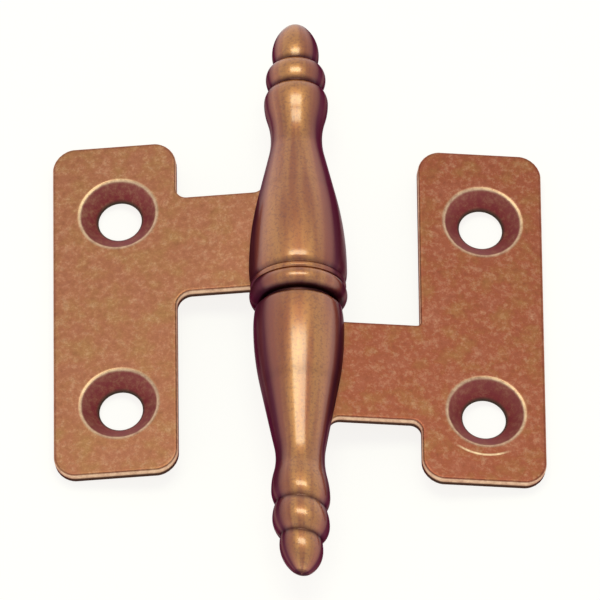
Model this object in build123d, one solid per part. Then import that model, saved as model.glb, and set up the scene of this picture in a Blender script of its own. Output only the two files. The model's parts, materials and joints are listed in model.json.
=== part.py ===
from build123d import *
from math import asin, atan2, cos, degrees, hypot, radians, sin, tan
from collections import namedtuple
import os

# Lift-off cabinet hinge with turned finial knuckles, lying open, front faces up.
# Millimetres. +Z up from the surface it lies on, +Y along the pin to the upper knuckle, +X to the lower leaf.

# Leaves: two stampings of one pattern, the second turned half a turn
sheet = 1.8                     # thickness of the plate
plate_inner = 12.4              # pin axis to the plate's inner edge
plate_width = 12.55
far_margin = 20.2               # plate beyond the tab, on the joint's side
tab_height = 11.1
near_margin = 6.3               # plate beyond the tab, on the finial's side
plate_corner_r = 2.1
end_crown = 0.45                # bow of the plate's two short ends
tab_joint_gap = 0.85            # knuckle's joint face to the tab
tab_finial_corner_r = 1.1       # inside corner between tab and plate, on the finial's side
upper_tab_joint_corner_r = 1.5  # the same on the joint's side, which the two dies cut differently
lower_tab_joint_corner_r = 0.4
tab_flare_r = 1.1               # where the tab widens into the knuckle
tab_flare_sink = 0.3            # how far the flare runs in under the knuckle's outside
face_setback = 0.15             # front face behind the plane of the pin's axis
front_edge_r = 0.25             # die roll at the front edge
back_chamfer = 0.6              # broken edge at the back

# Screw holes: countersunk for a 4 mm wood screw
hole_pitch = 22.1
upper_hole_inset = 6.65         # hole centre from the plate's outer edge
lower_hole_inset = 6.05
screw_hole_d = 4.4
countersink_angle = 95
screw_hole_land = 0.2           # straight wall left behind the countersink
countersink_edge = 0.14         # broken edge round the countersink's mouth

# Pin and its bores
pin_d = 4.0
pin_clearance = 0.05            # radial, in the ring and in the upper knuckle
pin_seat_depth = 10.0           # pressed into the lower knuckle
pin_engagement = 12.0           # above the ring, into the upper knuckle
pin_nose_chamfer = 0.6
pin_seat_chamfer = 0.4
bore_end_gap = 0.6              # air above the pin's nose
bore_mouth_chamfer = 0.3
slot_wall = 0.6                 # knuckle left between the tab's slot and the pin's bore

# Bearing ring: rounded crest under the upper rim, rounded underside, recessed foot
ring_r = 4.95
ring_top_r = 4.62
ring_foot_r = 3.75
ring_crown = 0.8                # upper face down to the widest place
ring_underside = 1.11           # widest place down to the recess, and the radius of that corner
ring_foot_height = 0.55         # recessed foot that stands on the lower knuckle

# Upper knuckle: radii, and the steps between them from the joint face to the tip
upper_rim_width = 0.56
upper_rim_r = 4.84
upper_rim_chamfer = 0.14
upper_rim_groove_step = 0.18
upper_rim_groove_r = 4.60
upper_shoulder_step = 0.41
upper_shoulder_r = 4.86
upper_belly_step = 0.95
upper_belly_r = 4.95
upper_neck_step = 15.3
upper_neck_r = 2.60
upper_bead_step = 4.3
upper_bead_r = 3.24
upper_groove_step = 1.5
upper_groove_r = 2.62
upper_disc_step = 1.4
upper_disc_r = 3.03
upper_cap_groove_step = 1.55
upper_cap_groove_r = 2.16
upper_cap_step = 1.35
upper_cap_r = 2.38
upper_cap_height = 3.5
upper_tip_r = 1.6
upper_flank_length = 5.3        # straight stretch between the flank's two long curves

# Lower knuckle: the same pattern, turned a little slimmer
lower_top_chamfer = 0.15
lower_shoulder_r = 4.42
lower_belly_step = 2.05
lower_belly_r = 4.58
lower_neck_step = 15.1
lower_neck_r = 2.47
lower_bead_step = 4.0
lower_bead_r = 2.96
lower_groove_step = 1.45
lower_groove_r = 2.52
lower_disc_step = 1.75
lower_disc_r = 2.88
lower_cap_groove_step = 1.85
lower_cap_groove_r = 2.08
lower_cap_step = 1.05
lower_cap_r = 2.19
lower_cap_height = 2.95
lower_tip_r = 1.6
lower_flank_length = 7.4
neck_curve = 8.0                # radius of the hollow curve on both sides of either neck

# The lower finial is askew: its rings slope while their centres stay on the axis
lower_finial_skew = 9.0         # degrees
skew_root_overlap = 0.02        # how much thinner the skewed finial's root is than the neck

# Worked out from the sizes above
plate_outer = plate_inner + plate_width
plate_length = far_margin + tab_height + near_margin
pin_r = pin_d / 2
bore_r = pin_r + pin_clearance
tab_root = bore_r + slot_wall
tab_end = tab_joint_gap + tab_height
back_depth = face_setback + sheet
ring_height = ring_foot_height + ring_underside + ring_crown
axis_height = max(upper_belly_r, ring_r)

# Each turned feature is a place, measured from the knuckle's joint face, and a radius there
Feature = namedtuple("Feature", "place radius")
Vase = namedtuple("Vase", "belly neck bead groove disc cap_groove cap tip flank_length tip_r")
Leaf = namedtuple("Leaf", "joint_corner_r hole_inset waist_r")


def chained(start, steps, radii):
    """Features one after another, each a step further from the joint face than the last."""
    places = [start + sum(steps[: count + 1]) for count in range(len(steps))]
    return [Feature(place, radius) for place, radius in zip(places, radii)]


def upper_vase():
    """Upper knuckle's features from the belly to the tip."""
    start = upper_rim_width + upper_rim_groove_step + upper_shoulder_step
    steps = [
        upper_belly_step, upper_neck_step, upper_bead_step, upper_groove_step,
        upper_disc_step, upper_cap_groove_step, upper_cap_step, upper_cap_height,
    ]
    radii = [
        upper_belly_r, upper_neck_r, upper_bead_r, upper_groove_r,
        upper_disc_r, upper_cap_groove_r, upper_cap_r, 0,
    ]
    return Vase(*chained(start, steps, radii), upper_flank_length, upper_tip_r)


def lower_vase():
    """Lower knuckle's features from the belly to the tip."""
    steps = [
        lower_belly_step, lower_neck_step, lower_bead_step, lower_groove_step,
        lower_disc_step, lower_cap_groove_step, lower_cap_step, lower_cap_height,
    ]
    radii = [
        lower_belly_r, lower_neck_r, lower_bead_r, lower_groove_r,
        lower_disc_r, lower_cap_groove_r, lower_cap_r, 0,
    ]
    return Vase(*chained(lower_top_chamfer, steps, radii), lower_flank_length, lower_tip_r)


def station(place, radius):
    """Point of a turned profile: its radius out from the axis, its place down from the joint face."""
    return Vector(radius, -place)


def swell(crest, end):
    """Arc that leaves a crest, or a neck, parallel to the axis and ends at a given point."""
    return TangentArc(crest, end, tangent=(0, end.Y - crest.Y))


def belly_curve(vase):
    """Radius of the long curve below the belly which leaves the straight flank its length."""
    along = vase.neck.place - vase.belly.place
    drop = vase.belly.radius - vase.neck.radius
    return (along**2 + drop**2 - vase.flank_length**2) / (2 * drop) - neck_curve


def flank(vase):
    """Ends of the straight flank, the line that touches both the belly's curve and the neck's."""
    belly, neck = vase.belly, vase.neck
    bow = belly_curve(vase)
    curves = bow + neck_curve
    across = curves - (belly.radius - neck.radius)
    slope = atan2(neck.place - belly.place, across) - atan2(vase.flank_length, curves)
    start = Feature(belly.place + bow * sin(slope), belly.radius - bow * (1 - cos(slope)))
    end = Feature(neck.place - neck_curve * sin(slope), neck.radius + neck_curve * (1 - cos(slope)))
    return start, end


def barrel_radius(vase, place):
    """Radius of the knuckle at a place between its belly and its neck."""
    start, end = flank(vase)
    if place < start.place:
        bow = belly_curve(vase)
        return vase.belly.radius - bow + (bow**2 - (place - vase.belly.place) ** 2) ** 0.5
    if place > end.place:
        return vase.neck.radius + neck_curve - (neck_curve**2 - (vase.neck.place - place) ** 2) ** 0.5
    share = (place - start.place) / (end.place - start.place)
    return start.radius + share * (end.radius - start.radius)


def leaf_outline(leaf):
    """Flat outline of a leaf whose knuckle's joint face is at Y 0 and whose plate reaches to +X."""
    flare_end = leaf.waist_r - tab_flare_sink
    flare_start = flare_end + tab_flare_r
    tab_joint = -tab_joint_gap
    tab_finial = -tab_end
    far_end = tab_joint + far_margin
    near_end = tab_finial - near_margin
    middle = plate_inner + plate_width / 2
    far_crown = (middle, far_end + end_crown)
    near_crown = (middle, near_end - end_crown)
    flare = RadiusArc((flare_start, tab_finial), (flare_end, tab_finial - tab_flare_r), -tab_flare_r)
    edges = [
        Line((tab_root, tab_joint), (plate_inner, tab_joint)),
        Line((plate_inner, tab_joint), (plate_inner, far_end)),
        ThreePointArc((plate_inner, far_end), far_crown, (plate_outer, far_end)),
        Line((plate_outer, far_end), (plate_outer, near_end)),
        ThreePointArc((plate_outer, near_end), near_crown, (plate_inner, near_end)),
        Line((plate_inner, near_end), (plate_inner, tab_finial)),
        Line((plate_inner, tab_finial), (flare_start, tab_finial)),
        flare,
        Line(flare @ 1, (tab_root, tab_finial - tab_flare_r)),
        Line((tab_root, tab_finial - tab_flare_r), (tab_root, tab_joint)),
    ]
    face = make_face(edges)
    corners = [
        ((plate_inner, tab_joint), leaf.joint_corner_r),
        ((plate_inner, tab_finial), tab_finial_corner_r),
        ((plate_inner, far_end), plate_corner_r),
        ((plate_outer, far_end), plate_corner_r),
        ((plate_outer, near_end), plate_corner_r),
        ((plate_inner, near_end), plate_corner_r),
    ]
    for place, radius in corners:
        corner = face.vertices().sort_by_distance(Vector(*place))[0]
        face = fillet(corner, radius)
    return face


def screw_hole():
    """Cutter for one hole, its mouth at Z 0: straight land, then the cone out to the front face."""
    hole_r = screw_hole_d / 2
    cone_depth = sheet - screw_hole_land
    rim_r = hole_r + cone_depth * tan(radians(countersink_angle / 2))
    corners = [(0, -sheet), (hole_r, -sheet), (hole_r, -cone_depth), (rim_r, 0), (0, 0)]
    half = make_face(Polyline(*corners, close=True))
    return revolve(Plane.XZ * half, Axis.Z)


def open_edges(face, leaf):
    """Edges round a face of the leaf, apart from those of its root inside the knuckle."""
    return [edge for edge in face.edges() if edge.center().X > leaf.waist_r - tab_flare_sink]


def leaf_blank(leaf):
    """The leaf as blanked from the sheet. Its root also gives the knuckle its slot."""
    return extrude(Pos(0, 0, -back_depth) * leaf_outline(leaf), sheet)


def make_leaf(leaf):
    """Stamped leaf: the blank, rolled over at its front edges, with two countersunk holes."""
    blank = leaf_blank(leaf)
    blank = fillet(open_edges(blank.faces().sort_by(Axis.Z)[-1], leaf), front_edge_r)
    blank = chamfer(open_edges(blank.faces().sort_by(Axis.Z)[0], leaf), back_chamfer)
    middle = far_margin - tab_joint_gap - plate_length / 2
    for side in (-1, 1):
        place = Pos(plate_outer - leaf.hole_inset, middle + side * hole_pitch / 2, -face_setback)
        blank -= place * screw_hole()
    rims = blank.faces().sort_by(Axis.Z)[-1].inner_wires()
    return chamfer([edge for rim in rims for edge in rim.edges()], countersink_edge)


def barrel_line(vase):
    """Outer line from the belly to the neck: long curve, straight flank, hollow curve."""
    start, end = flank(vase)
    straight = Line(station(*start), station(*end))
    hollow_curve = TangentArc(straight @ 1, station(*vase.neck), tangent=straight % 1)
    return [swell(station(*vase.belly), straight @ 0), straight, hollow_curve]


def neck_to_bead(vase):
    """Hollow curve out of the neck and the bead's back, which meet in line with each other."""
    neck, bead = vase.neck, vase.bead
    turn = 2 * atan2(bead.radius - neck.radius, bead.place - neck.place)
    meeting = station(neck.place + neck_curve * sin(turn), neck.radius + neck_curve * (1 - cos(turn)))
    hollow_curve = swell(station(*neck), meeting)
    return [hollow_curve, TangentArc(meeting, station(*bead), tangent=hollow_curve % 1)]


def dome(vase):
    """Cap from its widest place to the tip: a side curve that runs smoothly into a ball end."""
    cap, tip, tip_r = vase.cap, vase.tip, vase.tip_r
    height = tip.place - cap.place
    side_r = (cap.radius**2 + height**2 - 2 * height * tip_r) / (2 * (cap.radius - tip_r))
    turn = asin((height - tip_r) / (side_r - tip_r))
    meeting = station(tip.place - tip_r * (1 - sin(turn)), tip_r * cos(turn))
    side = swell(station(*cap), meeting)
    return [side, TangentArc(meeting, station(*tip), tangent=side % 1)]


def finial_line(vase):
    """Outer line from the neck to the tip: bead, groove, disc, groove and domed cap."""
    groove, cap_groove = station(*vase.groove), station(*vase.cap_groove)
    bead_front = swell(station(*vase.bead), groove)
    disc = [swell(station(*vase.disc), groove), swell(station(*vase.disc), cap_groove)]
    cap_back = swell(station(*vase.cap), cap_groove)
    return neck_to_bead(vase) + [bead_front] + disc + [cap_back] + dome(vase)


def turned(lines, start, end):
    """Solid of revolution about the pin's axis under an outer line that runs from start to end."""
    corners = [end, Vector(0, end.Y), Vector(0, start.Y), start]
    closing = [Line(a, b) for a, b in zip(corners, corners[1:]) if (b - a).length > 0]
    return revolve(make_face(lines + closing), Axis.Y)


def upper_barrel(vase):
    """Upper knuckle: rim band and groove at the joint, then belly, neck and finial in one turning."""
    edge_r = upper_rim_r - upper_rim_chamfer
    groove = upper_rim_width + upper_rim_groove_step
    shoulder = station(groove + upper_shoulder_step, upper_shoulder_r)
    rim = Polyline(
        station(0, edge_r),
        station(upper_rim_chamfer, upper_rim_r),
        station(upper_rim_width - upper_rim_chamfer, upper_rim_r),
        station(upper_rim_width, edge_r),
        station(groove, upper_rim_groove_r),
        shoulder,
    )
    top = rim.edges() + [swell(station(*vase.belly), shoulder)]
    return turned(top + barrel_line(vase) + finial_line(vase), station(0, edge_r), station(*vase.tip))


def lower_barrel(vase):
    """Lower knuckle: plain top edge and belly, with the finial turned askew past the neck."""
    edge = station(0, lower_shoulder_r - lower_top_chamfer)
    shoulder = station(lower_top_chamfer, lower_shoulder_r)
    neck = station(*vase.neck)
    top = [Line(edge, shoulder), swell(station(*vase.belly), shoulder)]
    body = turned(top + barrel_line(vase), edge, neck)
    skew = tan(radians(lower_finial_skew))
    root_r = vase.neck.radius - skew_root_overlap
    root = station(vase.neck.place - skew * vase.neck.radius, root_r)
    ledge = station(vase.neck.place, root_r)
    finial = turned([Line(root, ledge), Line(ledge, neck)] + finial_line(vase), root, station(*vase.tip))
    shear = Matrix([[1, 0, 0, 0], [-skew, 1, 0, 0], [0, 0, 1, 0]])
    return body + finial.transform_geometry(shear)


def bore(depth):
    """Blind bore for the pin from the joint face, with its mouth chamfered."""
    mouth_r = bore_r + bore_mouth_chamfer
    corners = [(0, 0), (mouth_r, 0), (bore_r, -bore_mouth_chamfer), (bore_r, -depth), (0, -depth)]
    return revolve(make_face(Polyline(*corners, close=True)), Axis.Y)


def pin_blank():
    """The pin about Y: pressed end down, nose up, the lower knuckle's joint face at Y 0."""
    nose = ring_height + pin_engagement
    shank = Pos(0, (nose - pin_seat_depth) / 2, 0) * Rot(X=-90) * Cylinder(pin_r, nose + pin_seat_depth)
    shank = chamfer(shank.faces().sort_by(Axis.Y)[0].edges(), pin_seat_chamfer)
    return chamfer(shank.faces().sort_by(Axis.Y)[-1].edges(), pin_nose_chamfer)


def make_ring():
    """Bearing ring about Y, standing on the lower knuckle's joint face at Y 0."""
    widest = Vector(ring_r, ring_foot_height + ring_underside)
    recess = Vector(ring_r - ring_underside, ring_foot_height)
    top = Vector(ring_top_r, ring_height)
    foot = [(ring_foot_r, ring_foot_height), (ring_foot_r, 0), (bore_r, 0)]
    inside = Polyline(recess, *foot, (bore_r, ring_height), top).edges()
    return revolve(make_face(inside + [swell(widest, top), swell(widest, recess)]), Axis.Y)


def rest_angle():
    """Slope of each leaf when the knuckles and the plates' back edges all lie on one surface."""
    across = plate_outer - back_chamfer
    return asin(axis_height / hypot(across, back_depth)) - atan2(back_depth, across)


def build():
    """All pieces at rest, open and lying down, by name."""
    upper = upper_vase()
    lower = lower_vase()
    upper_leaf = Leaf(upper_tab_joint_corner_r, upper_hole_inset, barrel_radius(upper, tab_end))
    lower_leaf = Leaf(lower_tab_joint_corner_r, lower_hole_inset, barrel_radius(lower, tab_end))
    pin = pin_blank()
    upper_knuckle = upper_barrel(upper) - bore(pin_engagement + bore_end_gap) - leaf_blank(upper_leaf)
    lower_knuckle = lower_barrel(lower) - pin - leaf_blank(lower_leaf)

    slope = degrees(rest_angle())
    lower_pose = Rot(Y=slope)
    upper_pose = Rot(Y=-slope) * Pos(0, ring_height, 0) * Rot(Z=180)
    pieces = {
        "upper_leaf": upper_pose * make_leaf(upper_leaf),
        "upper_knuckle": upper_pose * upper_knuckle,
        "lower_leaf": lower_pose * make_leaf(lower_leaf),
        "lower_knuckle": lower_pose * lower_knuckle,
        "hinge_pin": lower_pose * pin,
        "bearing_ring": make_ring(),
    }
    boxes = [piece.bounding_box() for piece in pieces.values()]
    middle = (min(box.min.Y for box in boxes) + max(box.max.Y for box in boxes)) / 2
    place = Pos(0, -middle, axis_height)
    return {name: place * piece for name, piece in pieces.items()}


if __name__ == "__main__":
    os.makedirs("parts", exist_ok=True)
    for name, piece in build().items():
        piece.label = name
        export_step(piece, os.path.join("parts", name + ".step"))
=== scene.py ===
# Lift-off cabinet hinge in antique copper, lying open: its surfaces, finishes, light and camera.
import json
from math import asin, atan2, cos, pi, radians, sin, tan

import bpy
import numpy as np
from bpy.props import EnumProperty, FloatProperty, FloatVectorProperty, PointerProperty
from mathutils import Matrix, Vector


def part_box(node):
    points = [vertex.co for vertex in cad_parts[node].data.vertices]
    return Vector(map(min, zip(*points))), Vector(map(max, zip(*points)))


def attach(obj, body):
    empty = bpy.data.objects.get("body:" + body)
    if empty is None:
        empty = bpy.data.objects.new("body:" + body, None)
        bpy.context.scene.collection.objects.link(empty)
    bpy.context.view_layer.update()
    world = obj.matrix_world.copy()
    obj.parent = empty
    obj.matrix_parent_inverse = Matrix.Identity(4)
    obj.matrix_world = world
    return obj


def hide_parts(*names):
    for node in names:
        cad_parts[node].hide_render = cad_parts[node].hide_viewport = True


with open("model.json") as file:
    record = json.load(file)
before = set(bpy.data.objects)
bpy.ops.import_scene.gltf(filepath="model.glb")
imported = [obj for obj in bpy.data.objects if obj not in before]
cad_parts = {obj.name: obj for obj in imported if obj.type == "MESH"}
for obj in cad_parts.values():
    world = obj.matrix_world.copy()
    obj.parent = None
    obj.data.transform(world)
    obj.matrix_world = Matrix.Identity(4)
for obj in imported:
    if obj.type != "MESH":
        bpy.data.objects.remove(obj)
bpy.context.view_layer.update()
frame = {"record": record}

bl_info = {
    "name": "Antique Copper Cabinet Hinge",
    "version": (1, 0, 0),
    "blender": (4, 5, 0),
    "location": "3D View > Sidebar > Hinge",
    "description": "Builds a lift-off cabinet hinge with vase knuckles and countersunk leaves",
    "category": "Add Mesh",
}

MM = 0.001
TURNED_POINTS = 160  # round a knuckle or the ring
HOLE_POINTS = 96  # round a screw hole, and round the pin
SOFTENED = 0.05 * MM  # how far from a turned piece's corners their curves start
SOFTENED_EDGE, SOFTENED_HOLE = 0.06 * MM, 0.07 * MM  # the same on a plate and in its holes

# Places that the packed parts already fix
RING_LOW, RING_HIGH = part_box("bearing_ring")
JOINT_Y = RING_LOW.y
RING_HEIGHT = RING_HIGH.y - RING_LOW.y
AXIS_Z = (RING_LOW.z + RING_HIGH.z) / 2
PIN_LOW, PIN_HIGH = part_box("hinge_pin")
PIN_R = (PIN_HIGH.x - PIN_LOW.x) / 2
SCREW = {mount["name"]: mount for mount in frame["record"]["mounts"]}
LEAF_NORMAL = SCREW["lower_leaf_screw_joint_side"]["axis"]
LEAF_SLOPE = atan2(LEAF_NORMAL[0], LEAF_NORMAL[2])


def number(name, about, value, **kind):
    """A number in the panel, with its unit or subtype."""
    return FloatProperty(name=name, description=about, default=value, precision=5, **kind)


def length(name, about, millimetres):
    """A size in the panel, written here in millimetres and kept in metres."""
    return number(name, about, millimetres * MM, unit="LENGTH")


def rotation(name, about, degrees):
    """An angle in the panel, written here in degrees and kept in radians."""
    return number(name, about, radians(degrees), unit="ROTATION")


def finish_colour(name, about, hexadecimal):
    """A colour in the panel, written as sRGB hex and kept linear."""
    default = linear(hexadecimal)
    return FloatVectorProperty(
        name=name, description=about, default=default, subtype="COLOR", size=4, min=0, max=1
    )


def linear(hexadecimal):
    """sRGB hex to linear RGBA: a straight line low down on the curve, then a power of 2.4."""
    values = np.array([int(hexadecimal[i : i + 2], 16) for i in (0, 2, 4)]) / 255
    low, high = values / 12.92, ((values + 0.055) / 1.055) ** 2.4
    return (*np.where(values <= 0.04045, low, high), 1.0)


class LeafSizes(bpy.types.PropertyGroup):
    """Sizes of the two stamped leaves."""

    sheet: length("Sheet", "Thickness of the plate", 1.8)
    setback: length("Setback", "Front face behind the plane of the pin's axis", 0.15)
    inner: length("Inner edge", "Pin axis to the plate's inner edge", 12.4)
    width: length("Width", "Width of the plate", 12.55)
    far_margin: length("Far margin", "Plate beyond the tab, on the joint's side", 20.2)
    tab_height: length("Tab height", "Height of the tab along the pin", 11.1)
    near_margin: length("Near margin", "Plate beyond the tab, on the finial's side", 6.3)
    joint_gap: length("Joint gap", "Knuckle's joint face to the tab", 0.85)
    corner: length("Plate corner", "Radius of the plate's outer corners", 2.1)
    crown: length("End crown", "Bow of the plate's short ends", 0.45)
    finial_corner: length("Finial-side corner", "Tab's inside corner on the finial's side", 1.1)
    upper_joint_corner: length("Upper joint corner", "Inside corner of the upper leaf's tab", 1.5)
    lower_joint_corner: length("Lower joint corner", "Inside corner of the lower leaf's tab", 0.4)
    flare: length("Tab flare", "Radius with which the tab widens into the knuckle", 1.1)
    front_roll: length("Front edge", "Radius of the rolled front edge", 0.25)
    back_break: length("Back edge", "Broken edge at the back", 0.6)
    hole_pitch: length("Hole pitch", "Distance between the two screw holes", 22.1)
    upper_inset: length("Upper hole inset", "Hole centre from the upper leaf's outer edge", 6.65)
    lower_inset: length("Lower hole inset", "Hole centre from the lower leaf's outer edge", 6.05)
    hole_r: length("Hole radius", "Radius of the screw hole", 2.2)
    land: length("Hole land", "Straight wall left behind the countersink", 0.2)
    cone: rotation("Countersink", "Slope of its wall off the hole's axis", 47.5)
    rim_break: length("Countersink rim", "Worn edge round the countersink's mouth", 0.14)
    root_sink: length("Root", "How far the tab's root runs in under the knuckle's outside", 0.25)
    spacing: length("Spacing", "Greatest step between points of the outline", 0.8)


# Features of a knuckle's vase, from its joint to its tip
VASE = ("belly", "neck", "bead", "groove", "disc", "cap_groove", "cap")


def vase(steps, radii):
    """For every feature of a vase a step along the pin and a radius, in millimetres."""
    made, before = {}, "edge of the top"
    for name, step, radius in zip(VASE, steps, radii):
        here = name.replace("_", "'s ")
        label = here.capitalize()
        made[name + "_step"] = length(label + " step", f"From the {before} to the {here}", step)
        made[name + "_r"] = length(label + " radius", f"Radius at the {here}", radius)
        before = here
    return made


class UpperKnuckleSizes(bpy.types.PropertyGroup):
    """Radii of the upper knuckle and the steps between them, from its joint face to the tip."""

    rim_width: length("Rim width", "Width of the rim band at the joint", 0.56)
    rim_r: length("Rim radius", "Radius of the rim band", 4.84)
    rim_break: length("Rim edge", "Broken edges of the rim band", 0.14)
    groove_width: length("Rim groove", "Rim band to the bottom of its groove", 0.18)
    groove_low_r: length("Rim groove radius", "Radius at the bottom of the rim's groove", 4.60)
    shoulder_step: length("Shoulder step", "Rim groove to the shoulder", 0.41)
    shoulder_r: length("Shoulder radius", "Radius at the shoulder", 4.86)
    cap_height: length("Cap height", "Cap's widest place to the tip", 3.5)
    tip_r: length("Tip radius", "Ball end of the cap", 1.6)
    flank_length: length("Flank", "Straight stretch between the flank's two curves", 5.3)
    bore_depth: length("Bore depth", "Depth of the pin's bore", 12.6)
    __annotations__.update(
        vase(
            steps=(0.95, 15.3, 4.3, 1.5, 1.4, 1.55, 1.35),
            radii=(4.95, 2.60, 3.24, 2.62, 3.03, 2.16, 2.38),
        )
    )


class LowerKnuckleSizes(bpy.types.PropertyGroup):
    """Radii of the lower knuckle and the steps between them, from its joint face to the tip."""

    top_break: length("Top edge", "Broken edge round the joint face", 0.15)
    shoulder_r: length("Shoulder radius", "Radius at the top edge", 4.42)
    cap_height: length("Cap height", "Cap's widest place to the tip", 2.95)
    tip_r: length("Tip radius", "Ball end of the cap", 1.6)
    flank_length: length("Flank", "Straight stretch between the flank's two curves", 7.4)
    bore_depth: length("Seat depth", "Depth of the pin's seat", 10.0)
    skew: rotation("Finial skew", "Slope of the finial's rings", 9)
    __annotations__.update(
        vase(
            steps=(2.05, 15.1, 4.0, 1.45, 1.75, 1.85, 1.05),
            radii=(4.58, 2.47, 2.96, 2.52, 2.88, 2.08, 2.19),
        )
    )


class JointSizes(bpy.types.PropertyGroup):
    """Sizes of the bearing ring, the pin and what both knuckles share."""

    neck_curve: length("Neck curve", "Radius of the hollow curve on both sides of a neck", 8.0)
    pin_clearance: length("Pin clearance", "Radial clearance round the pin", 0.05)
    pin_break: length("Pin ends", "Broken edges of the pin", 0.5)
    mouth_break: length("Bore mouth", "Broken edge at a bore's mouth", 0.3)
    ring_top_r: length("Ring top radius", "Radius of the ring's upper face", 4.62)
    ring_foot_r: length("Ring foot radius", "Radius of the ring's recessed foot", 3.75)
    ring_crown: length("Ring crown", "Upper face down to the widest place", 0.8)
    ring_foot: length("Ring foot", "Height of the recessed foot", 0.55)
    ring_play: length("Ring play", "Film of air at each face of the ring", 0.01)


class Finishes(bpy.types.PropertyGroup):
    """Colours of the copper plate, rubbed back by hand, and of the pin."""

    leaf_upper: finish_colour("Upper leaf", "Plate under the upper leaf's brown patina", "AF7156")
    leaf_lower: finish_colour("Lower leaf", "Plate under the lower leaf's redder patina", "A35944")
    leaf_olive: finish_colour("Leaf olive", "Yellower clouds in the patina", "AC8A56")
    leaf_rose: finish_colour("Leaf rose", "Pinker clouds in the patina", "B27060")
    leaf_dark: finish_colour("Leaf dark", "Pits and stains", "6E4232")
    # This dark is painted shade on the plate's cut walls and the holes' lands
    leaf_wall_shade: finish_colour("Leaf walls", "Patina left on the plate's cut walls", "4C4036")
    # Also darkens the countersinks as painted shade, over their patina
    sink_wine_and_shade: finish_colour("Countersink wine", "Patina left in the countersinks", "8C3A40")
    # Also the pale colour of the painted highlights on rolled edges, countersink rims and the
    # pressed arc
    worn_and_highlight: finish_colour("Worn edge", "Bare copper where the finish is rubbed through", "FCDCBA")
    knuckle_brown: finish_colour("Knuckle brown", "Polished copper under its patina", "CE8D52")
    # This red also paints the streaks that stand for reflected bands and the reddish painted shade
    # towards the sides
    knuckle_red_reflection_and_shade: finish_colour("Knuckle red", "Redder stretches of the knuckles", "9C4A30")
    # This dark paints the knuckles' specks and the painted shade round their sides
    knuckle_dark_and_side_shade: finish_colour("Knuckle dark", "Patina left round the sides", "683846")
    # This dark paints the grooves' patina and the painted shade on the ring's underside
    groove_dark_and_underside_shade: finish_colour("Groove dark", "Patina packed in the grooves", "3E1A2A")
    steel: finish_colour("Pin steel", "Ground steel of the pin", "A9A9AC")
    leaf_grazing: finish_colour("Leaf, grazing", "What the leaves reflect at a slant", "B88A96")
    knuckle_grazing: finish_colour("Knuckle, grazing", "What knuckles reflect at a slant", "A2809A")


class StageSizes(bpy.types.PropertyGroup):
    """Camera, softbox, light tent and table."""

    elevation: rotation("Elevation", "Camera above the horizon", 59.695)
    azimuth: rotation("Azimuth", "Camera round the hinge", -0.346)
    roll: rotation("Roll", "Camera about its own line of sight", -0.305)
    distance: length("Distance", "Camera to the hinge", 1500)
    frame_width: length("Frame width", "What the picture spans at the hinge", 60.46)
    aim_height: length("Aim", "Height above the table that the camera is aimed at", 3)
    right_shift: length("Right", "Middle of the picture to the right of the pin's middle", 0.163)
    up_shift: length("Up", "Middle of the picture above the pin's middle", 0.714)
    table_side: length("Table", "Side of the square table", 3000)
    table_grey: finish_colour("Table grey", "What the table gives back of the light", "7C7B79")
    table_glow: number("Table glow", "Light up through the table", 0.86, subtype="FACTOR")
    white: finish_colour("White", "Colour of the table's glow and of the tent", "FFFEFB")
    box_width: length("Softbox width", "Side of the softbox across the pin", 330)
    box_depth: length("Softbox depth", "Side of the softbox along the pin", 170)
    box_height: length("Softbox height", "Softbox to the hinge", 500)
    box_tilt: rotation("Softbox tilt", "Softbox off the vertical, to the far side", 12)
    box_power: number("Softbox power", "Light that the softbox gives", 0.84, unit="POWER")
    box_colour: finish_colour("Softbox colour", "Colour of the softbox's light", "F0FCDC")
    tent_top: number("Tent top", "Light of the tent overhead", 0.52, subtype="FACTOR")
    tent_rise: number("Tent rise", "Sine of the height where it is dim", 0.7, subtype="FACTOR")


def crest_arc(crest, end, count):
    """Arc in (place, radius) that leaves a crest parallel to the axis and ends at a point.
    Its radius is (along squared + drop squared) / (2 drop), and a point at turn t lies
    radius x sin t along and radius x (1 - cos t) down."""
    along, drop = end[0] - crest[0], crest[1] - end[1]
    bow = (along**2 + drop**2) / (2 * drop)
    turn = np.linspace(0, atan2(abs(along), bow - drop if bow > 0 else drop - bow), count)
    place = crest[0] + np.sign(along) * abs(bow) * np.sin(turn)
    return np.stack([place, crest[1] - bow * (1 - np.cos(turn))], 1)


def straight(start, end, count):
    """Evenly spaced points on the line between two points in (place, radius)."""
    share = np.linspace(0, 1, count)[:, None]
    return np.array(start) * (1 - share) + np.array(end) * share


def unit(vectors):
    """Vectors of length 1 that point the same way."""
    return vectors / np.linalg.norm(vectors, axis=1)[:, None]


def eased(corners, reach, count=5):
    """Polyline whose inner corners are small curves: each is a quadratic curve that starts and
    ends a given reach from the corner, or just short of halfway along a run too short for it."""
    corners = np.array(corners, float)
    here = corners[1:-1]
    ends = []
    for beside in (corners[:-2] - here, corners[2:] - here):
        away = np.linalg.norm(beside, axis=1)
        ends.append(here + unit(beside) * np.minimum(reach, away / 2.2)[:, None])
    start, stop = ends
    share = np.linspace(0, 1, count)[None, :, None]
    curve = (
        (1 - share) ** 2 * start[:, None]
        + 2 * share * (1 - share) * here[:, None]
        + share**2 * stop[:, None]
    )
    return np.concatenate([corners[:1], curve.reshape(-1, 2), corners[-1:]])


def joined(*pieces):
    """One profile from several, without the points that two of them share."""
    points = np.concatenate(pieces)
    apart = np.linalg.norm(np.diff(points, axis=0), axis=1) > 1e-7
    return points[np.concatenate([[True], apart])]


def vase_features(sizes, start):
    """Places and radii of a knuckle's features by name, from the belly to the tip."""
    steps = [getattr(sizes, name + "_step") for name in VASE] + [sizes.cap_height]
    radii = [getattr(sizes, name + "_r") for name in VASE] + [0.0]
    return dict(zip([*VASE, "tip"], zip(start + np.cumsum(steps), radii)))


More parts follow.
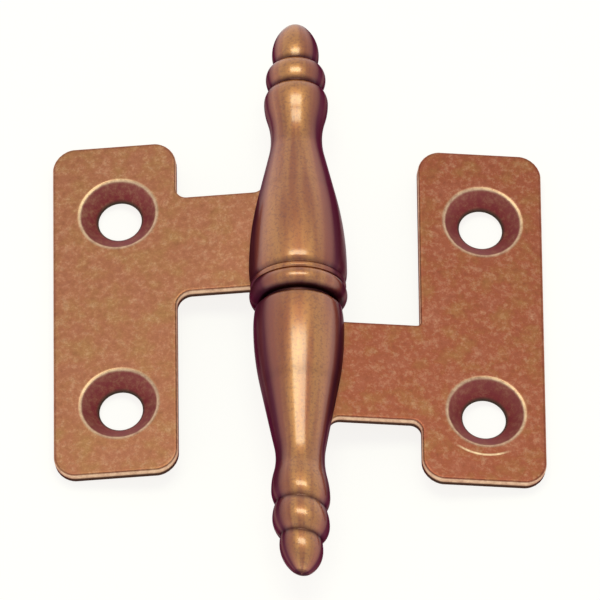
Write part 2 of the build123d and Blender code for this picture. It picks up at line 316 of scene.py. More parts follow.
def belly_curve(sizes, features, neck_curve):
    """Radius of the long curve below the belly: (along squared + drop squared - flank squared)
    / (2 drop), less the neck's radius of curve."""
    along = features["neck"][0] - features["belly"][0]
    drop = features["belly"][1] - features["neck"][1]
    return (along**2 + drop**2 - sizes.flank_length**2) / (2 * drop) - neck_curve


def flank_ends(sizes, features, neck_curve):
    """Ends of the straight line that touches the belly's curve and the neck's.
    Its slope is the angle of the line between the two centres, less the angle between that line
    and the flank."""
    belly, neck = features["belly"], features["neck"]
    bow = belly_curve(sizes, features, neck_curve)
    across = bow + neck_curve - (belly[1] - neck[1])
    slope = atan2(neck[0] - belly[0], across) - atan2(sizes.flank_length, bow + neck_curve)
    start = (belly[0] + bow * sin(slope), belly[1] - bow * (1 - cos(slope)))
    end = (neck[0] - neck_curve * sin(slope), neck[1] + neck_curve * (1 - cos(slope)))
    return start, end


def vase_line(sizes, features, neck_curve):
    """Outer line of a knuckle from its belly to its tip: arcs and one straight flank that touch
    each other. The cap's side runs into the ball of its tip at the angle lift, whose sine is
    (height - tip radius) / (side radius - tip radius)."""
    start, end = flank_ends(sizes, features, neck_curve)
    neck, bead, cap, tip = (features[name] for name in ("neck", "bead", "cap", "tip"))
    turn = 2 * atan2(bead[1] - neck[1], bead[0] - neck[0])
    meeting = (neck[0] + neck_curve * sin(turn), neck[1] + neck_curve * (1 - cos(turn)))
    height, tip_r = tip[0] - cap[0], sizes.tip_r
    side_r = (cap[1] ** 2 + height**2 - 2 * height * tip_r) / (2 * (cap[1] - tip_r))
    lift = asin((height - tip_r) / (side_r - tip_r))
    shoulder = (tip[0] - tip_r * (1 - sin(lift)), tip_r * cos(lift))
    ball = np.linspace(lift, pi / 2, 14)
    rounded_tip = np.stack([tip[0] - tip_r * (1 - np.sin(ball)), tip_r * np.cos(ball)], 1)
    rounded_tip[-1, 1] = 0
    return joined(
        crest_arc(features["belly"], start, 16),
        straight(start, end, 14),
        crest_arc(neck, end, 6)[::-1],
        crest_arc(neck, meeting, 10),
        crest_arc(bead, meeting, 10)[::-1],
        crest_arc(bead, features["groove"], 12),
        crest_arc(features["disc"], features["groove"], 12)[::-1],
        crest_arc(features["disc"], features["cap_groove"], 12),
        crest_arc(cap, features["cap_groove"], 9)[::-1],
        crest_arc(cap, shoulder, 12),
        rounded_tip,
    )


def in_scene(name, data):
    """A new object in the scene, for a mesh, a lamp or a lens."""
    made = bpy.data.objects.new(name, data)
    bpy.context.scene.collection.objects.link(made)
    return made


def put(name, half, points, faces, body, node, material):
    """A mesh piece from points in a half's own frame and arrays of polygons, which are turned
    outwards if the volume under them, a sum of triple products, is negative."""
    points = at_rest(points, half)
    triangles = np.concatenate([fan(four) for four in faces])
    a, b, c = (points[triangles[:, i]] for i in range(3))
    if np.einsum("ij,ij->", a, np.cross(b, c)) < 0:
        faces = [four[:, ::-1] for four in faces]
    mesh = bpy.data.meshes.new(name)
    corners = np.concatenate([four.ravel() for four in faces]).astype(np.int32)
    totals = np.concatenate([np.full(len(four), four.shape[1]) for four in faces])
    mesh.vertices.add(len(points))
    mesh.vertices.foreach_set("co", points.astype(np.float32).ravel())
    mesh.loops.add(len(corners))
    mesh.loops.foreach_set("vertex_index", corners)
    mesh.polygons.add(len(totals))
    mesh.polygons.foreach_set("loop_start", (np.cumsum(totals) - totals).astype(np.int32))
    mesh.polygons.foreach_set("use_smooth", np.ones(len(totals), bool))
    mesh.update(calc_edges=True)
    mesh.validate()
    mesh.materials.append(material)
    piece = in_scene(name, mesh)
    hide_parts(node)
    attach(piece, body)
    return piece


def fan(four):
    """Triangles of polygons with one number of corners, each fanned out from its first corner."""
    around = np.repeat(four[:, :1], four.shape[1] - 2, 1)
    return np.stack([around, four[:, 1:-1], four[:, 2:]], 2).reshape(-1, 3)


def attribute(piece, name, values):
    """Stores one number for each point of a piece, for its material to read."""
    layer = piece.data.attributes.new(name, "FLOAT", "POINT")
    layer.data.foreach_set("value", np.asarray(values, np.float32))


def band(first, second):
    """Quads between two rings of point numbers that both close on themselves."""
    return np.stack([first, np.roll(first, -1), np.roll(second, -1), second], 1)


def strips(numbers, closed=False):
    """Quads of a grid of point numbers whose rows are rings; closed joins the last to the first."""
    rows = np.concatenate([numbers, numbers[:1]]) if closed else numbers
    return np.concatenate([band(a, b) for a, b in zip(rows, rows[1:])])


def circle(count):
    """Angles of points spaced evenly round a full turn."""
    return np.linspace(0, 2 * pi, count, endpoint=False)


def revolved(line, count, shear=0.0):
    """Points of a line turned about the axis, and their numbers in rings: at place p, radius r and
    angle a the point is (r sin a, -p, r cos a), and shear lowers it by shear x r sin a."""
    angle = circle(count)
    x, z = line[:, 1:] * np.sin(angle), line[:, 1:] * np.cos(angle)
    y = np.repeat(-line[:, :1], count, 1) - shear * x
    return np.stack([x, y, z], 2).reshape(-1, 3), np.arange(x.size).reshape(x.shape)


def turned(line, count, shear=0.0):
    """A revolved line whose two ends are on the axis, where it closes in a single point."""
    points, numbers = revolved(line[1:-1], count, shear)
    poles = np.array([[0, -line[0, 0], 0], [0, -line[-1, 0], 0]])
    first, last = len(points), len(points) + 1
    caps = [
        np.stack([np.roll(numbers[0], -1), numbers[0], np.full(count, first)], 1),
        np.stack([numbers[-1], np.roll(numbers[-1], -1), np.full(count, last)], 1),
    ]
    return np.concatenate([points, poles]), [strips(numbers), np.concatenate(caps)]


def at_rest(points, half):
    """Puts points of a half's own frame into the hinge's: X out to the leaf, Y up the pin and
    Z off the front face. The lower half is turned about the pin by the leaf's slope. The upper
    one is first turned half round and lifted by the ring, and then sloped the other way."""
    if half == "upper":
        points = points * (-1, -1, 1) + (0, RING_HEIGHT, 0)
    slope = -LEAF_SLOPE if half == "upper" else LEAF_SLOPE
    turn = np.array([[cos(slope), 0, sin(slope)], [0, 1, 0], [-sin(slope), 0, cos(slope)]])
    return points @ turn.T + (0, JOINT_Y, AXIS_Z)


def knuckle_profile(top, sizes, features, joint, bore_r):
    """Whole line of a knuckle: up the bore, over its mouth and the joint face, then the outside
    down to the tip."""
    inside = eased(
        [
            (sizes.bore_depth, 0),
            (sizes.bore_depth, bore_r),
            (joint.mouth_break, bore_r),
            (0, bore_r + joint.mouth_break),
            *top,
        ],
        SOFTENED,
    )
    rise = crest_arc(features["belly"], top[-1], 7)[::-1]
    return joined(inside, rise, vase_line(sizes, features, joint.neck_curve))


def put_knuckle(hinge, half, line, shear=0.0):
    """Turns a knuckle's line, puts it in its place and gives it its finish."""
    points, faces = turned(line, TURNED_POINTS, shear)
    body, node = half + "_half", half + "_knuckle"
    copper = polished_copper("polished_copper_" + half, hinge.finish)
    piece = put("knuckle_" + half, half, points, faces, body, node, copper)
    patina(piece, hollows(line)[1:-1])


class HINGE_OT_upper_knuckle(bpy.types.Operator):
    """Turn the upper knuckle: rim band, groove, vase body and finial"""

    bl_idname = "hinge.upper_knuckle"
    bl_label = "Upper Knuckle"

    def execute(self, context):
        hinge = context.scene.hinge
        sizes, joint = hinge.upper, hinge.joint
        edge_r = sizes.rim_r - sizes.rim_break
        groove = sizes.rim_width + sizes.groove_width
        shoulder = (groove + sizes.shoulder_step, sizes.shoulder_r)
        top = [
            (0, edge_r),
            (sizes.rim_break, sizes.rim_r),
            (sizes.rim_width - sizes.rim_break, sizes.rim_r),
            (sizes.rim_width, edge_r),
            (groove, sizes.groove_low_r),
            shoulder,
        ]
        features = vase_features(sizes, shoulder[0])
        line = knuckle_profile(top, sizes, features, joint, PIN_R + joint.pin_clearance)
        put_knuckle(hinge, "upper", line)
        return {"FINISHED"}


class HINGE_OT_lower_knuckle(bpy.types.Operator):
    """Turn the lower knuckle: plain top edge, vase body and the askew finial"""

    bl_idname = "hinge.lower_knuckle"
    bl_label = "Lower Knuckle"

    def execute(self, context):
        hinge = context.scene.hinge
        sizes, joint = hinge.lower, hinge.joint
        top = [
            (0, sizes.shoulder_r - sizes.top_break),
            (sizes.top_break, sizes.shoulder_r),
        ]
        features = vase_features(sizes, sizes.top_break)
        line = knuckle_profile(top, sizes, features, joint, PIN_R)
        share = np.clip((line[:, 0] - features["neck"][0]) / joint.neck_curve + 0.5, 0, 1)
        shear = tan(sizes.skew) * share**2 * (3 - 2 * share)
        put_knuckle(hinge, "lower", line, shear[1:-1, None])
        return {"FINISHED"}


def hollows(line):
    """How deep each place of a profile lies in a groove, 1 at the groove's full depth: the mean
    radius of the profile within reach, less the place's own radius."""
    reach, full_depth = 1.1 * MM, 0.22 * MM
    order = np.cumsum(np.concatenate([[0], np.linalg.norm(np.diff(line, axis=0), axis=1)]))
    near = (np.abs(order[:, None] - order) < reach) * np.gradient(order)
    mean = (near * line[:, 1]).sum(1) / near.sum(1)
    return np.clip((mean - line[:, 1]) / full_depth, 0, 1)


def patina(piece, depth):
    """Marks a turned piece for its finish: one depth for each ring of points, which carries the
    patina in the grooves and the painted shade on the ring's underside, and a mark for painted
    shade round the sides, 1 on the front, nought round the sides and 0.6 behind: smooth steps of
    the cosine of the angle round the pin. Poles come last."""
    cosine = np.cos(circle(TURNED_POINTS))
    share = np.clip((cosine - 0.4) / 0.57, 0, 1) + 0.6 * np.clip((-cosine - 0.4) / 0.5, 0, 1)
    smooth = np.tile(share**2 * (3 - 2 * share), len(depth))
    poles = np.full(len(piece.data.vertices) - len(smooth), 0.5)
    attribute(piece, "hollow", np.concatenate([np.repeat(depth, TURNED_POINTS), 0 * poles]))
    attribute(piece, "front_unshaded", np.concatenate([smooth, poles]))


class HINGE_OT_ring(bpy.types.Operator):
    """Turn the bearing ring: rounded crest, rounded underside and recessed foot"""

    bl_idname = "hinge.ring"
    bl_label = "Bearing Ring"

    def execute(self, context):
        hinge = context.scene.hinge
        joint = hinge.joint
        widest = (RING_HIGH.x - RING_LOW.x) / 2
        crest = RING_HEIGHT - joint.ring_crown
        underside = crest - joint.ring_foot
        bore_r = PIN_R + joint.pin_clearance
        top, bottom = -RING_HEIGHT + joint.ring_play, -joint.ring_play
        over = crest_arc((-crest, widest), (top, joint.ring_top_r), 12)[::-1]
        under = crest_arc((-crest, widest), (-joint.ring_foot, widest - underside), 16)
        foot = eased(
            [
                (-joint.ring_foot, widest - underside),
                (-joint.ring_foot, joint.ring_foot_r),
                (bottom, joint.ring_foot_r),
                (bottom, bore_r),
                (top, bore_r),
                (top, joint.ring_top_r),
            ],
            SOFTENED,
        )
        line = joined(over, under, foot)[:-1]
        points, numbers = revolved(line, TURNED_POINTS)
        faces = [strips(numbers, closed=True)]
        copper = polished_copper("polished_copper_ring", hinge.finish)
        piece = put("ring_bearing", "lower", points, faces, "ring", "bearing_ring", copper)
        # Painted shade on the lower part of the rounded underside
        patina(piece, np.clip(3.5 * (line[:, 0] + crest) / underside - 2, 0, 1))
        return {"FINISHED"}


class HINGE_OT_pin(bpy.types.Operator):
    """Turn the steel hinge pin"""

    bl_idname = "hinge.pin"
    bl_label = "Hinge Pin"

    def execute(self, context):
        hinge = context.scene.hinge
        low, high = JOINT_Y - PIN_HIGH.y, JOINT_Y - PIN_LOW.y
        edge = hinge.joint.pin_break
        start = [(low, 0), (low, PIN_R - edge), (low + edge, PIN_R)]
        end = [(high - edge, PIN_R), (high, PIN_R - edge), (high, 0)]
        points, faces = turned(eased(start + end, 2 * SOFTENED), HOLE_POINTS)
        steel = ground_steel(hinge.finish)
        put("pin_steel", "lower", points, faces, "lower_half", "hinge_pin", steel)
        return {"FINISHED"}


def rounded(corners, count=9):
    """Closed outline with rounded corners. Each corner is (x, y, radius), and its arc starts and
    ends radius / tan(half the corner's angle) away from it."""
    corners = np.array(corners, float)
    here, radius = corners[:, :2], corners[:, 2]
    back, on = unit(np.roll(here, 1, 0) - here), unit(np.roll(here, -1, 0) - here)
    half = np.arccos(np.clip((back * on).sum(1), -1, 1)) / 2
    away = (radius / np.tan(half))[:, None]
    middle = here + unit(back + on) * (radius / np.sin(half))[:, None]
    start, stop = here + back * away - middle, here + on * away - middle
    share = np.linspace(0, 1, count)[None, :, None]
    arc = start[:, None] * (1 - share) + stop[:, None] * share
    arc *= radius[:, None, None] / np.maximum(np.linalg.norm(arc, axis=2), 1e-12)[:, :, None]
    return (middle[:, None] + arc).reshape(-1, 2)


def respaced(outline, spacing):
    """The closed outline with points added on its runs, none further apart than the spacing."""
    ahead = np.roll(outline, -1, 0)
    counts = np.maximum(1, np.ceil(np.linalg.norm(ahead - outline, axis=1) / spacing)).astype(int)
    start = np.repeat(np.arange(len(outline)), counts)
    first = np.repeat(np.cumsum(counts) - counts, counts)
    share = (np.arange(counts.sum()) - first) / np.repeat(counts, counts)
    return outline[start] * (1 - share[:, None]) + ahead[start] * share[:, None]


def inward(outline):
    """Unit normals into a closed outline that runs anticlockwise: a quarter turn of the line
    between a point's neighbours."""
    along = np.roll(outline, -1, 0) - np.roll(outline, 1, 0)
    return unit(np.stack([-along[:, 1], along[:, 0]], 1))


def barrel_radius(place, sizes, features, neck_curve):
    """Radius of a knuckle at places between belly and neck: the belly's arc, then the straight
    flank, then the neck's arc."""
    start, end = flank_ends(sizes, features, neck_curve)
    belly, neck = features["belly"], features["neck"]
    bow = belly_curve(sizes, features, neck_curve)
    on_belly = belly[1] - bow + np.sqrt(bow**2 - np.minimum(place - belly[0], bow) ** 2)
    to_neck = np.minimum(neck[0] - place, neck_curve)
    on_neck = neck[1] + neck_curve - np.sqrt(neck_curve**2 - to_neck**2)
    on_flank = start[1] + (place - start[0]) / (end[0] - start[0]) * (end[1] - start[1])
    return np.where(place < start[0], on_belly, np.where(place > end[0], on_neck, on_flank))


def leaf_outline(leaf, joint_corner, sizes, features, neck_curve):
    """Outline of a leaf seen from the front, anticlockwise: rounded corners, short ends bowed as
    crown x (1 - u squared), and a root that follows the knuckle's own curve,
    sqrt(radius squared - depth squared), a little under its surface. Each point comes with half
    its distance from the root."""
    outer = leaf.inner + leaf.width
    joint_edge, finial_edge = -leaf.joint_gap, -leaf.joint_gap - leaf.tab_height
    far, near = joint_edge + leaf.far_margin, finial_edge - leaf.near_margin
    waist = barrel_radius(-finial_edge, sizes, features, neck_curve)
    root_end = -finial_edge + leaf.flare
    down = np.linspace(-joint_edge, root_end, 60)
    barrel, depth = barrel_radius(down, sizes, features, neck_curve), leaf.setback + leaf.sheet
    root = np.sqrt(barrel**2 - depth**2) - leaf.root_sink
    turn = np.linspace(pi / 2, 0, 10)
    flare_end = waist - leaf.root_sink
    flare_x = flare_end + leaf.flare * (1 - np.sin(turn))
    flare_y = finial_edge - leaf.flare * (1 - np.cos(turn))
    plate = rounded(
        [
            (flare_end + leaf.flare, finial_edge, 0),
            (leaf.inner, finial_edge, leaf.finial_corner),
            (leaf.inner, near, leaf.corner),
            (outer, near, leaf.corner),
            (outer, far, leaf.corner),
            (leaf.inner, far, leaf.corner),
            (leaf.inner, joint_edge, joint_corner),
            (root[0], joint_edge, 0),
        ]
    )
    across = (plate[:, 0] - leaf.inner) / leaf.width * 2 - 1
    beyond = (plate[:, 1] > far - leaf.corner).astype(float) - (plate[:, 1] < near + leaf.corner)
    plate[:, 1] += beyond * leaf.crown * (1 - across**2)
    root_line = np.stack([root, -down], 1)
    closed = np.concatenate([plate, root_line[1:], np.stack([flare_x, flare_y], 1)])
    apart = np.linalg.norm(closed - np.roll(closed, 1, 0), axis=1) > 1e-6
    outline = respaced(closed[apart], leaf.spacing)
    from_root = np.linalg.norm(outline[:, None] - root_line, axis=2).min(1)
    return outline, np.maximum(0, from_root - leaf.root_sink) / 2


def edge_profile(leaf):
    """Edge of a plate as (distance in, height): the rolled front, the wall and the broken back."""
    roll, base = leaf.front_roll, -leaf.sheet
    turn = np.linspace(pi / 2, 0, 7)
    front = np.stack([roll * (1 - np.cos(turn)), -roll * (1 - np.sin(turn))], 1)
    back = [
        (0, -3 * roll),
        (0, base + leaf.back_break),
        (leaf.back_break, base),
        (leaf.back_break + roll, base),
    ]
    # Points on the straight runs beside the roll, which keep its marks and its shading to itself
    beside = [(2.4 * roll, 0), (1.4 * roll, 0)]
    return joined(beside, front, [(0, -2 * roll)], eased(back, SOFTENED_EDGE))


def hole_profile(leaf, rim_r):
    """Wall of a screw hole as (radius, height): flat front, countersink, land and flat back."""
    roll, base = leaf.front_roll, -leaf.sheet
    slant_x, slant_y = sin(leaf.cone), cos(leaf.cone)
    # The steps out to 4.8 rolls carry the painted highlight of the ring that a screw's head pressed
    return eased(
        [
            *[(rim_r + step * roll, 0) for step in (4.8, 4.4, 4.0, 3.6, 1.4)],
            (rim_r + leaf.rim_break, 0),
            (rim_r - leaf.rim_break * slant_x, -leaf.rim_break * slant_y),
            (rim_r - roll * slant_x, -roll * slant_y),
            (leaf.hole_r + 2 * roll * slant_x, 2 * roll * slant_y - leaf.sheet + leaf.land),
            (leaf.hole_r, leaf.land - leaf.sheet),
            (leaf.hole_r, base),
            (leaf.hole_r + 2 * roll, base),
        ],
        SOFTENED_HOLE,
    )


def leaf_marks(leaf, edge, hole, rim_r, outline_count):
    """Marks of a leaf for its finish, by name, along its edge and then round both holes."""
    roll, base = leaf.front_roll, -leaf.sheet
    # Depths are in rolls: the rolled edge ends at 1, and the bare copper fades out beyond 2
    depth = -edge[:, 1] / roll
    from_rim = (hole[:, 0] - rim_r) / (0.6 * roll)
    on_land = (hole[:, 0] < leaf.hole_r + 0.4 * roll) & (hole[:, 1] > base)
    marks = {
        "rolled": (np.clip((depth - 0.25) / 0.35, 0, 1) * (depth < 2.2), 0),
        "rim": (0, (hole[:, 1] > -1.2 * roll) * np.exp(-(from_rim**2))),
        "sunk": (0, np.clip(-from_rim, 0, 1) * (hole[:, 1] > base)),
        # Cut walls and the holes' lands, for painted shade
        "painted_wall_shade": (np.clip(depth - 2, 0, 1) * (edge[:, 1] > base), on_land),
        "back": (edge[:, 1] <= base, hole[:, 1] <= base),
    }
    return {
        name: np.concatenate(
            [
                np.repeat(np.broadcast_to(on_edge, len(edge)), outline_count),
                np.tile(np.repeat(np.broadcast_to(on_hole, len(hole)), HOLE_POINTS), 2),
            ]
        ).astype(float)
        for name, (on_edge, on_hole) in marks.items()
    }


def stamped(leaf, outline, clear, centres, pressed):
    """A plate from its outline and hole centres. Its edge is a profile carried round the outline,
    no further in than is clear of the root. Each hole is a profile carried round its centre, and
    on either side two flat panels meet on the line through the holes."""
    rim_r = leaf.hole_r + (leaf.sheet - leaf.land) * tan(leaf.cone)
    edge, hole = edge_profile(leaf), hole_profile(leaf, rim_r)
    rings = outline + inward(outline) * np.minimum(edge[:, :1], clear)[:, :, None]
    rings = np.concatenate([rings, np.repeat(edge[:, 1:, None], len(outline), 1)], 2)
    angle = circle(HOLE_POINTS)
    spoke = np.stack([np.cos(angle), np.sin(angle), np.zeros(HOLE_POINTS)], 1)
    radius, height = hole[:, :1, None], hole[:, 1:, None]
    bores = [np.array([*at, 0]) + spoke * radius + np.array([0, 0, 1]) * height for at in centres]
    grids = [rings] + bores
    starts = np.cumsum([0] + [grid.shape[0] * grid.shape[1] for grid in grids])
    numbers = [
        start + np.arange(grid.shape[0] * grid.shape[1]).reshape(len(grid), -1)
        for start, grid in zip(starts, grids)
    ]
    faces = [strips(numbers[0])[:, ::-1], strips(numbers[1]), strips(numbers[2])]
    for row in (0, -1):
        left, right = panels(rings[row], *[grid[row] for grid in numbers], centres[0][0])
        faces += [left, right] if row == 0 else [left[:, ::-1], right[:, ::-1]]
    points = np.concatenate([grid.reshape(-1, 3) for grid in grids]) - (0, 0, leaf.setback)
    marks = leaf_marks(leaf, edge, hole, rim_r, len(outline))
    if pressed:
        # Painted highlight of the ring that a screw's head pressed, an arc below the first hole
        # some 4 rolls outside its rim
        on_arc = np.clip(1.5 - 2.5 * np.abs((hole[:, 0] - rim_r) / leaf.front_roll - 4.2), 0, 1)
        swept = np.clip(10 * np.cos(angle - radians(265)) - 8.4, 0, 1)
        marks["rim"][starts[1] : starts[2]] += np.outer(on_arc, swept).ravel()
    return points, faces, marks


def panels(outline, edge, lower, upper, middle):
    """Two polygons that fill a flat outline round two holes: they share the outline's ends and the
    holes' tops and bottoms on the middle line."""
    quarter = len(lower) // 4
    off_line = np.abs(outline[:, 0] - middle)
    top, bottom = (np.argmin(off_line + (side * outline[:, 1] < 0)) for side in (1, -1))
    rising = np.arange(bottom, bottom + (top - bottom) % len(edge) + 1) % len(edge)
    falling = np.arange(top, top + (bottom - top) % len(edge) + 1) % len(edge)
    right = np.arange(quarter, -quarter - 1, -1)
    left = np.arange(3 * quarter, quarter - 1, -1)
    right_panel = np.concatenate([edge[rising], upper[right], lower[right]])
    left_panel = np.concatenate([edge[falling], lower[left], upper[left]])
    return left_panel[None], right_panel[None]


class HINGE_OT_leaf(bpy.types.Operator):
    """Stamp a leaf: rolled front edge, broken back edge and two countersunk holes"""

    bl_idname = "hinge.leaf"
    bl_label = "Leaf"

    half: EnumProperty(
        name="Half",
        description="Which leaf is made",
        items=[
            ("upper", "Upper", "Leaf of the upper knuckle"),
            ("lower", "Lower", "Leaf of the lower knuckle"),
        ],
    )

    def execute(self, context):
        hinge, half = context.scene.hinge, self.half
        leaf, sizes = hinge.leaf, getattr(hinge, half)
        steps = {"upper": ("rim_width", "groove_width", "shoulder_step"), "lower": ("top_break",)}
        features = vase_features(sizes, sum(getattr(sizes, name) for name in steps[half]))
        corner, neck_curve = getattr(leaf, half + "_joint_corner"), hinge.joint.neck_curve
        outline, clear = leaf_outline(leaf, corner, sizes, features, neck_curve)
        middle = (leaf.far_margin - leaf.tab_height - leaf.near_margin) / 2 - leaf.joint_gap
        from_pin = leaf.inner + leaf.width - getattr(leaf, half + "_inset")
        centres = [(from_pin, middle + side * leaf.hole_pitch / 2) for side in (-1, 1)]
        points, faces, marks = stamped(leaf, outline, clear, centres, half == "lower")
        brown = getattr(hinge.finish, "leaf_" + half)
        copper = satin_copper("satin_copper_" + half, hinge.finish, brown)
        body, node = half + "_half", half + "_leaf"
        piece = put("leaf_" + half, half, points, faces, body, node, copper)
        for name, values in marks.items():
            attribute(piece, name, values)
        return {"FINISHED"}


def add(tree, kind, inputs=None, **settings):
    """Adds a node with its own settings. An input is a plain value or another node's socket."""
    made = tree.nodes.new(kind)
    for name, value in settings.items():
        setattr(made, name, value)
    for name, value in (inputs or {}).items():
        if isinstance(value, bpy.types.NodeSocket):
            tree.links.new(value, made.inputs[name])
        else:
            made.inputs[name].default_value = value
    return made


def emptied(owner):
    """The node tree of a material or a world, without the nodes that it comes with."""
    owner.use_nodes = True
    owner.node_tree.nodes.clear()
    return owner.node_tree


def noise(tree, place, across, detail, roughness=0.5):
    """Noise whose broadest clouds are so many millimetres across."""
    scale = 1 / (across * MM)
    inputs = {"Vector": place, "Scale": scale, "Detail": detail, "Roughness": roughness}
    return add(tree, "ShaderNodeTexNoise", inputs).outputs[0]


def ramp(tree, value, low, high, start, end):
    """Goes from start to end, and no further, while the value goes from low to high."""
    inputs = {0: value, 1: low, 2: high, 3: start, 4: end}
    return add(tree, "ShaderNodeMapRange", inputs).outputs[0]


def layered(tree, colour, *coats):
    """A colour with others laid over it in turn, each a pair of how much it hides and itself."""
    for share, coat in coats:
        mix = add(tree, "ShaderNodeMix", {0: share, 6: colour, 7: coat}, data_type="RGBA")
        colour = mix.outputs[2]
    return colour


def combine(tree, operation, first, second, kind="ShaderNodeMath", **settings):
    """Two values, or two vectors, in one sum."""
    return add(tree, kind, {0: first, 1: second}, operation=operation, **settings).outputs[0]


def mark(tree, name):
    """A mark that the mesh carries, from 0 to 1."""
    return add(tree, "ShaderNodeAttribute", attribute_name=name).outputs["Fac"]


def relief(tree, height, depth, strength, under=None):
    """Normals of a relief so many millimetres deep, laid over another one where it is given."""
    inputs = {"Height": height, "Distance": depth * MM, "Strength": strength}
    if under is not None:
        inputs["Normal"] = under
    return add(tree, "ShaderNodeBump", inputs).outputs[0]


def metal(name, look):
    """A material. Its look is a function that adds nodes and returns the shader's inputs."""
    material = bpy.data.materials.new(name)
    tree = emptied(material)
    inputs = look(tree, add(tree, "ShaderNodeTexCoord").outputs["Object"])
    surface = add(tree, "ShaderNodeBsdfPrincipled", inputs)
    add(tree, "ShaderNodeOutputMaterial", {"Surface": surface.outputs[0]})
    return material


def satin_copper(name, finish, brown):
    """Antique copper plate on stamped brass, brushed back by hand and lacquered satin.
    The eye sees a soft brown sheen with olive and rose clouds, fine grit, bare bright copper on
    every rubbed edge that also serves as its painted highlight, dark patina deepened by painted
    shade down in the countersinks and painted shade on the cut walls."""

    def look(tree, place):
        # Patina in clouds some 5 mm across, olive and rose ones of 2.5 mm, and specks of 0.7 mm
        broad = noise(tree, place, 5, 3, 0.55)
        clouds = noise(tree, place, 2.5, 3, 0.6)
        specks = noise(tree, place, 0.7, 4, 0.8)
        olive = ramp(tree, clouds, 0.48, 0.7, 0, 0.36)
        rose = ramp(tree, clouds, 0.52, 0.3, 0, 0.4)

        # Pale specks, then dark ones and the brushed-back plating's pits. Its grit is 0.22 mm
        # across, a little coarser than it really is, so that it shows
        grit = noise(tree, place, 0.22, 2, 0.7)
        pale = ramp(tree, specks, 0.5, 0.75, 0, 0.26)
        stains = ramp(tree, specks, 0.52, 0.3, 0, 0.42)
        stains = combine(tree, "MAXIMUM", ramp(tree, grit, 0.56, 0.36, 0, 0.24), stains)

        # Patina never rubbed, thin on the back; the countersinks' dark is thick patina and painted
        # shade, the walls' is painted shade
        tarnish = ramp(tree, broad, 0.35, 0.65, 0.25, 0.6)
        tarnish = combine(tree, "MULTIPLY", mark(tree, "back"), tarnish)
        sunk = mark(tree, "sunk")
        kept = combine(tree, "MULTIPLY", sunk, ramp(tree, specks, 0.4, 0.65, 1, 0.55))

        # Bare copper on the rolled edges and the countersinks' rims, broken up by the specks; its
        # pale colour also paints the highlights there
        rubbed = combine(tree, "MAXIMUM", mark(tree, "rolled"), mark(tree, "rim"))
        patchy = ramp(tree, specks, 0.3, 0.6, 0.4, 0.9)
        bare = combine(tree, "MULTIPLY", rubbed, patchy, use_clamp=True)
        return {
            "Base Color": layered(
                tree,
                brown,
                (olive, finish.leaf_olive),
                (rose, finish.leaf_rose),
                (pale, finish.worn_and_highlight),
                (stains, finish.leaf_dark),
                (tarnish, finish.leaf_dark),
                # Countersinks: patina, darkened further as painted shade
                (kept, finish.sink_wine_and_shade),
                # Painted shade on the cut walls and the holes' lands
                (mark(tree, "painted_wall_shade"), finish.leaf_wall_shade),
                (bare, finish.worn_and_highlight),
            ),
            # The patina in a countersink is thick enough to hide nearly half of the metal
            "Metallic": ramp(tree, sunk, 0, 1, 1, 0.55),
            "Roughness": ramp(tree, specks, 0.3, 0.7, 0.36, 0.5),
            "Normal": relief(tree, grit, 0.012, 0.6, under=relief(tree, broad, 0.05, 0.4)),
            "Specular Tint": finish.leaf_grazing,
        }

    return metal(name, look)


